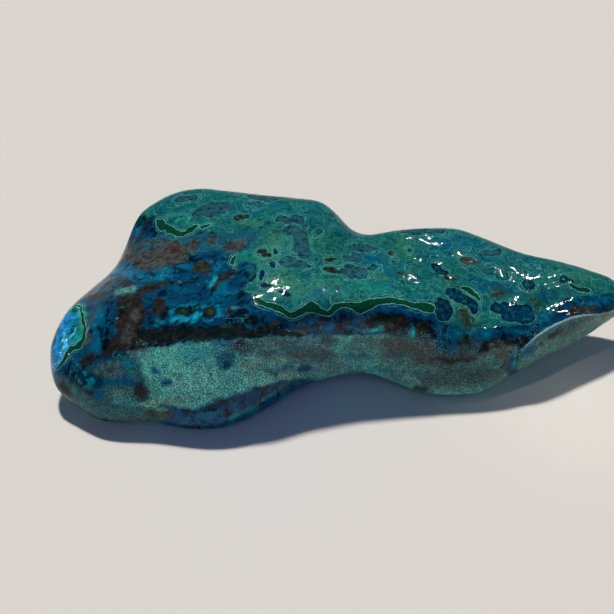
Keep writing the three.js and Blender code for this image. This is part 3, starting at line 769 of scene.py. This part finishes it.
def sums(tree, operation, a, b=0.0):
    node = tree.nodes.new("ShaderNodeMath")
    node.operation = operation
    setSocket(tree, node.inputs[0], a)
    setSocket(tree, node.inputs[1], b)
    return node.outputs[0]


def rampBetween(tree, value, low, high):
    node = tree.nodes.new("ShaderNodeMapRange")
    node.interpolation_type = "SMOOTHSTEP"
    for key, number in (("Value", value), ("From Min", low), ("From Max", high)):
        setSocket(tree, node.inputs[key], number)
    return node.outputs[0]


def mixColour(tree, share, a, b, way="MIX"):
    node = tree.nodes.new("ShaderNodeMix")
    node.data_type = "RGBA"
    node.blend_type = way
    setSocket(tree, node.inputs[0], share)
    setSocket(tree, node.inputs[6], a)
    setSocket(tree, node.inputs[7], b)
    return node.outputs[2]


def cloudNoise(tree, place, scale, detail=3.0, roughness=0.5, distortion=0.0):
    node = put(tree, "ShaderNodeTexNoise", Vector=place, Scale=scale, Detail=detail,
               Roughness=roughness, Distortion=distortion)
    return node.outputs[0]


def readMark(tree, name, colour=False):
    node = tree.nodes.new("ShaderNodeAttribute")
    node.attribute_name = name
    return node.outputs["Color" if colour else "Fac"]


def newGroup(name, inputs, outputs):
    tree = bpy.data.node_groups.new(name, "ShaderNodeTree")
    for direction, sockets in (("INPUT", inputs), ("OUTPUT", outputs)):
        for label, kind in sockets:
            kind = "NodeSocket" + kind
            tree.interface.new_socket(name=label, in_out=direction, socket_type=kind)
    return tree, tree.nodes.new("NodeGroupInput"), tree.nodes.new("NodeGroupOutput")


def useGroup(tree, group, **inputs):
    node = tree.nodes.new("ShaderNodeGroup")
    node.node_tree = group
    for key, value in inputs.items():
        setSocket(tree, node.inputs[key], value)
    return node


# thin lines where a value passes whole numbers, like the bands in agate
def makeBands():
    tree, start, end = newGroup("bandLines", [("Field", "Float"), ("Width", "Float")],
                                [("Lines", "Float")])
    saw = sums(tree, "FRACT", start.outputs["Field"])
    fold = sums(tree, "ABSOLUTE", sums(tree, "SUBTRACT", saw, 0.5))
    near = sums(tree, "SUBTRACT", 0.5, fold)
    edge = sums(tree, "MULTIPLY", start.outputs["Width"], 0.5)
    lines = rampBetween(tree, near, start.outputs["Width"], sums(tree, "MULTIPLY", edge, 0.4))
    tree.links.new(lines, end.inputs["Lines"])
    return tree


# one line at a given distance from the edge of a marking, its half width in millimetres
def makeEdgeLine():
    names = ("Gap", "At", "Width")
    tree, start, end = newGroup("edgeLine", [(name, "Float") for name in names], [("Line", "Float")])
    gap, at, width = (start.outputs[name] for name in names)
    away = sums(tree, "ABSOLUTE", sums(tree, "SUBTRACT", gap, at))
    line = rampBetween(tree, away, width, sums(tree, "MULTIPLY", width, 0.35))
    tree.links.new(line, end.inputs["Line"])
    return tree


# fine bright and dark grains
def makeGrains():
    tree, start, end = newGroup("grains", [("Place", "Vector"), ("Scale", "Float")],
                                [("Grain", "Float"), ("Patch", "Float")])
    place, scale = start.outputs["Place"], start.outputs["Scale"]
    fine = cloudNoise(tree, place, scale, 2.0, 0.7)
    wide = cloudNoise(tree, place, sums(tree, "MULTIPLY", scale, 0.14), 5.0, 0.7, 0.3)
    tree.links.new(rampBetween(tree, fine, 0.40, 0.61), end.inputs["Grain"])
    tree.links.new(rampBetween(tree, wide, 0.42, 0.60), end.inputs["Patch"])
    return tree


# sizes are noise scales: the higher, the finer
stoneFinish = {
    "unevenSize": 620,
    "hueSize": 80,
    "swirlSize": 210,
    "capSpotSize": 900,
    "bandSize": 120,
    "bandCount": 4.0,
    "bandNearEye": 0.5,
    "fineBandSize": 330,
    "fineBandCount": 6.0,
    "blotchSize": 300,
    "brownSize": 520,
    "threadSize": 160,
    "threadCount": 4.0,
    "blueSpotSize": 1500,
    "grainSize": 3200.0,
    "fleckSize": 2600,
    "eyeSize": 620,
    "seamSize": 520,
    "wearSize": 90,
    "crinkleSize": 260,
    "polish": 0.025,
    "paleLine": (0.090, 0.400, 0.300),
    "ribbonLine": (0.170, 0.560, 0.430),
    "capBlue": (0.001, 0.120, 0.185),
    "capGreen": (0.010, 0.158, 0.122),
    "capLight": (0.026, 0.280, 0.252),
    "capDark": (0.0008, 0.055, 0.075),
    "blueLight": (1.6, 1.9, 1.75),
    "blueDark": (0.3, 0.12, 0.14),
    "brownLight": (1.6, 1.6, 1.65),
    "brownDark": (0.45, 0.45, 0.50),
    "veinDark": (0.0004, 0.007, 0.018),
    "cyanRim": (0.004, 0.260, 0.380),
    "grainDark": (0.18, 0.27, 0.33),
    "grainLight": (2.15, 1.9, 1.85),
    "fleck": (0.004, 0.045, 0.060),
    "paleFleck": (0.320, 0.820, 0.820),
    "greenBand": (0.006, 0.105, 0.050),
    "crinkle": 0.5,
    "gloss": 0.18,
}


def makeStoneMaterial():
    material = bpy.data.materials.new("chrysocollaPolish")
    material.use_nodes = True
    tree = material.node_tree
    shader = tree.nodes["Principled BSDF"]
    place = tree.nodes.new("ShaderNodeTexCoord").outputs["Object"]
    bands, edgeLine, grains = makeBands(), makeEdgeLine(), makeGrains()
    look = stoneFinish
    tint, eyeTint = readMark(tree, "tint", True), readMark(tree, "eyeTint", True)
    names = ("cap", "eye", "halo", "malachite", "seam", "grain", "ridge")
    cap, eye, halo, green, seam, grain, ridgeHighlightMask = (readMark(tree, name) for name in names)

    def times(a, b):
        return sums(tree, "MULTIPLY", a, b)

    def plus(a, b):
        return sums(tree, "ADD", a, b)

    def larger(a, b):
        return sums(tree, "MAXIMUM", a, b)

    def ramp(value, low, high):
        return rampBetween(tree, value, low, high)

    def lay(share, under, over):
        return mixColour(tree, share, under, over)

    def wash(under, mask, share, over):
        return lay(times(mask, share), under, over)

    def tinted(name):
        return mixColour(tree, 1.0, tint, look[name], "MULTIPLY")

    def redOf(colour):
        return put(tree, "ShaderNodeSeparateColor", Color=colour).outputs[0]

    def cloud(scale, detail=3, roughness=0.5, distortion=0.0):
        return cloudNoise(tree, place, scale, detail, roughness, distortion)

    def clouded(scale, low, high, detail=4, roughness=0.65):
        return ramp(cloud(scale, detail, roughness), low, high)

    def linesIn(field, width):
        return useGroup(tree, bands, Field=field, Width=width).outputs[0]

    def lineAt(gap, at, width):
        return useGroup(tree, edgeLine, Gap=gap, At=at, Width=width).outputs[0]

    # small unevenness shared by every edge
    uneven = sums(tree, "SUBTRACT", cloud(look["unevenSize"], 3, 0.65), 0.5)

    def loosen(gap, amount):
        return plus(gap, times(uneven, amount))

    eyeEdge, haloEdge, capEdge = loosen(eye, 1.3), loosen(halo, 2.0), loosen(cap, 2.4)
    greenEdge, seamEdge, grainEdge = loosen(green, 1.1), loosen(seam, 4.5), loosen(grain, 5.0)
    inCap = ramp(capEdge, -0.15, 0.15)
    inGrain = ramp(grainEdge, -0.4, 0.4)
    inSeam = ramp(seamEdge, 0.5, -0.5)
    inGreen = ramp(greenEdge, 0.1, -0.1)

    # cap: bluer and greener clouds, light and dark swirls, then thin pale bands
    hue = cloud(look["hueSize"], 4, 0.6, 0.8)
    capColour = wash(tint, ramp(hue, 0.5, 0.66), 0.75, look["capBlue"])
    capColour = wash(capColour, ramp(hue, 0.48, 0.34), 0.6, look["capGreen"])
    swirl = cloud(look["swirlSize"], 5, 0.62, 1.8)
    capColour = wash(capColour, ramp(swirl, 0.52, 0.70), 0.75, look["capLight"])
    capColour = wash(capColour, ramp(swirl, 0.48, 0.33), 0.85, look["capDark"])
    capColour = wash(capColour, clouded(look["capSpotSize"], 0.50, 0.36), 0.5, look["capDark"])
    field = times(cloud(look["bandSize"], 3, 0.5, 1.2), look["bandCount"])
    field = plus(field, times(sums(tree, "MINIMUM", eye, 5.0), look["bandNearEye"]))
    banded = clouded(150, 0.40, 0.60)
    bandShare = times(linesIn(field, 0.09), times(banded, 0.7))
    fineField = times(cloud(look["fineBandSize"], 3, 0.55, 1.0), look["fineBandCount"])
    fineShare = times(linesIn(fineField, 0.16), times(clouded(130, 0.44, 0.62), 0.45))
    besideLines = linesIn(plus(field, 0.14), 0.2)
    capColour = lay(times(besideLines, times(banded, 0.6)), capColour, look["capDark"])
    capColour = lay(fineShare, capColour, look["paleLine"])
    capColour = lay(bandShare, capColour, look["paleLine"])

    # blue: dark blotches, bright clouds, cyan rims and thread-like veins, calmer on the brown
    redness = redOf(tint)
    lively = plus(times(ramp(redness, 0.020, 0.004), 0.85), 0.15)
    blotch = cloud(look["blotchSize"], 5, 0.66, 0.7)
    paler = times(times(ramp(blotch, 0.52, 0.64), 0.9), lively)
    darker = times(times(ramp(blotch, 0.485, 0.40), 0.9), lively)
    blueColour = lay(paler, tint, tinted("blueLight"))
    blueColour = lay(darker, blueColour, tinted("blueDark"))
    brownColour = lay(clouded(look["brownSize"], 0.40, 0.62, 5, 0.75), tinted("brownDark"),
                      tinted("brownLight"))
    blueColour = wash(blueColour, ramp(redness, 0.012, 0.022), 0.9, brownColour)
    rim = times(times(lineAt(blotch, 0.50, 0.012), clouded(120, 0.5, 0.62)), lively)
    blueColour = wash(blueColour, rim, 0.6, look["cyanRim"])
    threadField = times(cloud(look["threadSize"], 4, 0.6, 1.2), look["threadCount"])
    threads = times(times(linesIn(threadField, 0.06), clouded(110, 0.5, 0.64, 2)), lively)
    blueColour = wash(blueColour, threads, 0.6, look["paleLine"])
    blueSpots = times(clouded(look["blueSpotSize"], 0.50, 0.38, 3), 0.35)
    blueColour = lay(blueSpots, blueColour, look["veinDark"])

    # grains
    speck = useGroup(tree, grains, Place=place, Scale=look["grainSize"])
    grainColour = lay(speck.outputs["Grain"], tinted("grainDark"), tinted("grainLight"))
    grainColour = wash(grainColour, speck.outputs["Patch"], 0.38, look["fleck"])
    colour = lay(inCap, blueColour, capColour)
    colour = lay(inGrain, colour, grainColour)

    # pale flecks scattered beside the seams
    besideSeam = times(ramp(seam, 7, 2), clouded(330, 0.42, 0.56))
    flecks = times(ramp(cloud(look["fleckSize"], 1, 0.6), 0.62, 0.68),
                   times(ramp(grainEdge, -3.4, -2.2), besideSeam))
    colour = lay(times(times(flecks, 0.8), ramp(inCap, 1, 0)), colour, look["paleFleck"])

    # pale outlines round the eyes
    halos = larger(lineAt(haloEdge, 0.0, 0.15), times(lineAt(haloEdge, -0.9, 0.12), 0.6))
    halos = times(times(halos, clouded(210, 0.36, 0.54, 2)), inCap)
    colour = wash(colour, halos, 0.8, look["paleLine"])

    # eyes: the greyer ones have a soft edge, the darker ones a border, and all a pale ring
    chalky = ramp(redOf(eyeTint), 0.008, 0.024)
    eyeSoft = plus(times(chalky, 0.25), 0.12)
    inEye = times(ramp(eyeEdge, eyeSoft, times(eyeSoft, -1)), ramp(cap, -2, 0))
    eyeCloud = cloud(look["eyeSize"], 5, 0.72, 0.4)
    eyeColour = wash(eyeTint, ramp(eyeCloud, 0.50, 0.66), 0.5, look["capLight"])
    eyeColour = wash(eyeColour, ramp(eyeCloud, 0.50, 0.38), 0.75, look["veinDark"])
    border = times(lineAt(eyeEdge, -0.3, 0.4), ramp(chalky, 1.6, 0))
    eyeColour = wash(eyeColour, border, 0.55, look["veinDark"])
    colour = lay(inEye, colour, eyeColour)
    rings = larger(times(lineAt(eyeEdge, 0.24, 0.15), 0.8), times(lineAt(eyeEdge, 0.9, 0.12), 0.5))
    rings = times(times(rings, inCap), clouded(200, 0.36, 0.54, 2))
    colour = lay(rings, colour, look["paleLine"])

    # seams, malachite with its bands and pale rim, and a painted highlight along the ridge
    seamColour = lay(clouded(look["seamSize"], 0.46, 0.60, 5, 0.75), paint["soot"], paint["umber"])
    seamColour = wash(seamColour, clouded(240, 0.54, 0.66), 0.6, paint["olive"])
    seamColour = wash(seamColour, clouded(1700, 0.56, 0.66, 2), 0.4, look["capDark"])
    colour = wash(colour, inSeam, 0.94, seamColour)
    greenLine = linesIn(times(greenEdge, 1.7), 0.26)
    greenColour = wash(paint["darkGreen"], greenLine, 0.7, look["greenBand"])
    colour = lay(inGreen, colour, greenColour)
    outerRim = times(lineAt(greenEdge, 0.85, 0.11), clouded(180, 0.42, 0.55, 2))
    greenRim = larger(lineAt(greenEdge, 0.12, 0.15), times(outerRim, 0.6))
    colour = wash(colour, greenRim, 0.85, look["ribbonLine"])
    # painted highlight along the ridge
    colour = wash(colour, ramp(ridgeHighlightMask, 0.86, 1.0), 0.9, paint["ridgeHighlight"])
    tree.links.new(colour, shader.inputs["Base Color"])

    dull = plus(times(inGrain, 0.16), times(inSeam, 0.15))
    wear = times(cloud(look["wearSize"], 5, 0.65), 0.03)
    roughness = plus(plus(dull, wear), look["polish"])
    tree.links.new(roughness, shader.inputs["Roughness"])
    height = times(speck.outputs["Grain"], times(inGrain, 0.6))
    crinkle = times(cloud(look["crinkleSize"], 0, 0.5, 0.8), inCap)
    for part, amount in ((rings, 0.08), (halos, 0.08), (bandShare, 0.06), (swirl, 0.1),
                         (crinkle, look["crinkle"])):
        height = plus(height, times(part, amount))
    bump = put(tree, "ShaderNodeBump", Strength=0.3, Distance=0.0002, Height=height)
    tree.links.new(bump.outputs[0], shader.inputs["Normal"])
    shader.inputs["IOR"].default_value = 1.52
    shader.inputs["Specular IOR Level"].default_value = look["gloss"]
    return material


stone.data.materials.append(makeStoneMaterial())
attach(stone, "root")
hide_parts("stone")
print("stone finished:", len(stone.data.polygons), "faces")

studio = {
    "floorColour": (0.80, 0.755, 0.69),
    "floorSize": 6.0,
    "floorClouds": 6,
    "floorPaler": 1.03,
    "floorRoughness": 0.7,
    "horizon": (0.36, 0.345, 0.31),
    "zenith": (0.030, 0.045, 0.070),
    "skyBetween": (0.05, 0.42),
    # name, degrees left of straight behind, height, power, spread, colour
    "key": ("keyLamp", 20, 60, 2.9, 5, (1, 0.97, 0.93)),
    "fill": ("fillLamp", 180, 40, 0.30, 30, (0.30, 0.55, 1)),
    # place on the stone in millimetres, turn, height, how much of the stone it covers, power
    "snoots": (
        (-26, -20, 34, 15, 49, 7, 0.9), (-24, -23, 33, 13, 59, 4, 0.9),
        (-21, -19, 34, 11, 53, 4, 0.6), (-6, -19, 33, -30, 58, 3, 0.5),
        (24, 11, 34, -15, 49, 4, 0.35), (27, 0, 32, -18, 57, 3, 0.4),
        (30, -5, 30, -41, 57, 2, 0.5), (36, 4, 33, -22, 51, 3, 0.4), (40, 3, 32, -35, 45, 3, 0.5),
        (19, -8, 31, -22, 46, 3, 0.06), (51, -3, 28, -43, 47, 3, 0.5),
        (55, 0, 28, -38, 37, 4, 0.6), (61, 0, 27, -38, 38, 4, 0.6),
        (50, -12, 25, -72, 52, 2, 0.5), (64, -10, 22, -73, 44, 4, 0.5),
        (62, -3, 26, -55, 44, 2, 0.5), (67, -2, 25, -75, 41, 3, 0.4),
        (66, -8, 22, -71, 43, 2, 0.3), (39, -22, 22, -113, 56, 2, 0.6),
        (-89, -24, 19, 60, 43, 5, 0.3), (-90, -28, 17, 81, 40, 3, 0.3),
    ),
    # the same for the other sides
    "sideSnoots": (
        (-60, 43, 37, -21, 45, 7, 0.8), (-54, 41, 40, -77, 43, 6, 0.7),
        (-54, 44, 36, 4, 44, 7, 0.8), (-39, 39, 39, 38, 39, 7, 0.7),
        (-31, 36, 39, -29, 62, 6, 0.6), (-29, 34, 41, -94, 33, 5, 0.6),
        (-21, 37, 34, -22, 26, 8, 0.7), (-12, 31, 39, 3, 37, 6, 0.7),
        (7, 20, 32, -85, 46, 5, 0.6), (14, 24, 30, -43, 41, 7, 0.8), (11, 26, 26, 13, 30, 7, 0.6),
        (22, 26, 30, 26, 46, 7, 0.8), (35, 28, 29, -67, 25, 6, 0.7),
        (40, 28, 27, -49, 23, 6, 0.6), (55, 23, 23, -15, 29, 7, 0.7),
        (72, 15, 24, -70, 36, 6, 0.6), (66, 15, 26, 14, 64, 5, 0.5),
        (81, 13, 21, -17, 27, 5, 0.6), (-8, -14, 35, 48, 50, 4, 0.6), (13, 1, 33, 46, 40, 5, 0.6),
        (25, 12, 35, 48, 41, 4, 0.5), (36, -10, 27, 51, 65, 3, 0.5), (55, 0, 28, 26, 59, 4, 0.5),
        (54, 11, 30, 25, 53, 5, 0.4), (93, 6, 18, -56, 40, 6, 0.5),
    ),
    "coolSnoots": ((-89, -23, 18, 60, 41, 8, 0.55), (58, -19, 18, -108, 8, 12, 1.2)),
    # a blue glow in the shadow before the waist, and a paler one in the shadow of the tip,
    # each with its size and colour as well
    "shades": (
        (-26, -46, 0, 180, 35, 40, 1.3, 0.05, (0, 0.10, 1)),
        (70, -32, 0, 0, 90, 28, 1.4, 0.03, (1, 0.93, 0.82)),
    ),
    "snootReach": 0.5,
    "snootBlend": 0.6,
    "snootSize": 0.005,
    "snootColour": (1, 0.98, 0.95),
    "coolSize": 0.03,
    "coolColour": (0.10, 0.58, 1),
}


def stageMaterial(name, colour):
    material = bpy.data.materials.new(name)
    material.use_nodes = True
    tree = material.node_tree
    shader = tree.nodes["Principled BSDF"]
    place = tree.nodes.new("ShaderNodeTexCoord").outputs["Object"]
    cloud = cloudNoise(tree, place, studio["floorClouds"], 3)
    paler = tuple(min(value * studio["floorPaler"], 1) for value in colour)
    tree.links.new(mixColour(tree, cloud, colour, paler), shader.inputs["Base Color"])
    shader.inputs["Roughness"].default_value = studio["floorRoughness"]
    shader.inputs["Specular IOR Level"].default_value = 0
    return material


bpy.ops.object.select_all(action="DESELECT")
bpy.ops.mesh.primitive_plane_add(size=studio["floorSize"], location=(0, 0, 0))
floor = bpy.context.active_object
floor.name = "studioFloor"
floor.data.materials.append(stageMaterial("paleTable", studio["floorColour"]))


def hangLamp(name, kind, power, colour, turn, height):
    data = bpy.data.lights.new(name, kind)
    data.energy = power
    data.color = colour
    lamp = bpy.data.objects.new(name, data)
    lamp.rotation_euler = (math.radians(height - 90), 0, math.radians(turn))
    bpy.context.scene.collection.objects.link(lamp)
    return lamp


# a distant soft lamp, turned left of straight behind the stone and raised above the horizon
def distantLamp(name, turn, height, power, spread, colour):
    lamp = hangLamp(name, "SUN", power, colour, turn, height)
    lamp.data.angle = math.radians(spread)
    return lamp


# a narrow lamp half a metre off that only touches one part of the polish
def snootLamp(name, x, y, z, turn, height, cover, power, size, colour):
    lamp = hangLamp(name, "SPOT", power, colour, turn, height)
    lamp.data.shadow_soft_size = size
    lamp.data.spot_size = 2 * math.atan(cover * mm / studio["snootReach"])
    lamp.data.spot_blend = studio["snootBlend"]
    back = lamp.rotation_euler.to_matrix() @ Vector((0, 0, studio["snootReach"]))
    lamp.location = Vector((x, y, z)) * mm + back
    return lamp


# the broad lamps light the stone without a glare, and the narrow ones only show in the polish
distantLamp(*studio["key"]).visible_glossy = False
distantLamp(*studio["fill"]).visible_glossy = False
for number, settings in enumerate(studio["snoots"] + studio["sideSnoots"]):
    lamp = snootLamp(f"snoot{number}", *settings, studio["snootSize"], studio["snootColour"])
    lamp.visible_diffuse = False
for number, settings in enumerate(studio["coolSnoots"]):
    lamp = snootLamp(f"coolSnoot{number}", *settings, studio["coolSize"], studio["coolColour"])
    lamp.visible_diffuse = False
for number, settings in enumerate(studio["shades"]):
    snootLamp(f"shade{number}", *settings).visible_glossy = False

world = bpy.data.worlds.new("studioWorld")
world.use_nodes = True
worldTree = world.node_tree
skyPlace = worldTree.nodes.new("ShaderNodeTexCoord").outputs["Generated"]
skyParts = put(worldTree, "ShaderNodeSeparateXYZ", Vector=skyPlace)
skyShare = rampBetween(worldTree, skyParts.outputs["Z"], *studio["skyBetween"])
worldTree.links.new(mixColour(worldTree, skyShare, studio["horizon"], studio["zenith"]),
                    worldTree.nodes["Background"].inputs["Color"])
bpy.context.scene.world = world
bpy.context.scene.view_settings.view_transform = "Standard"
print("studio lit")
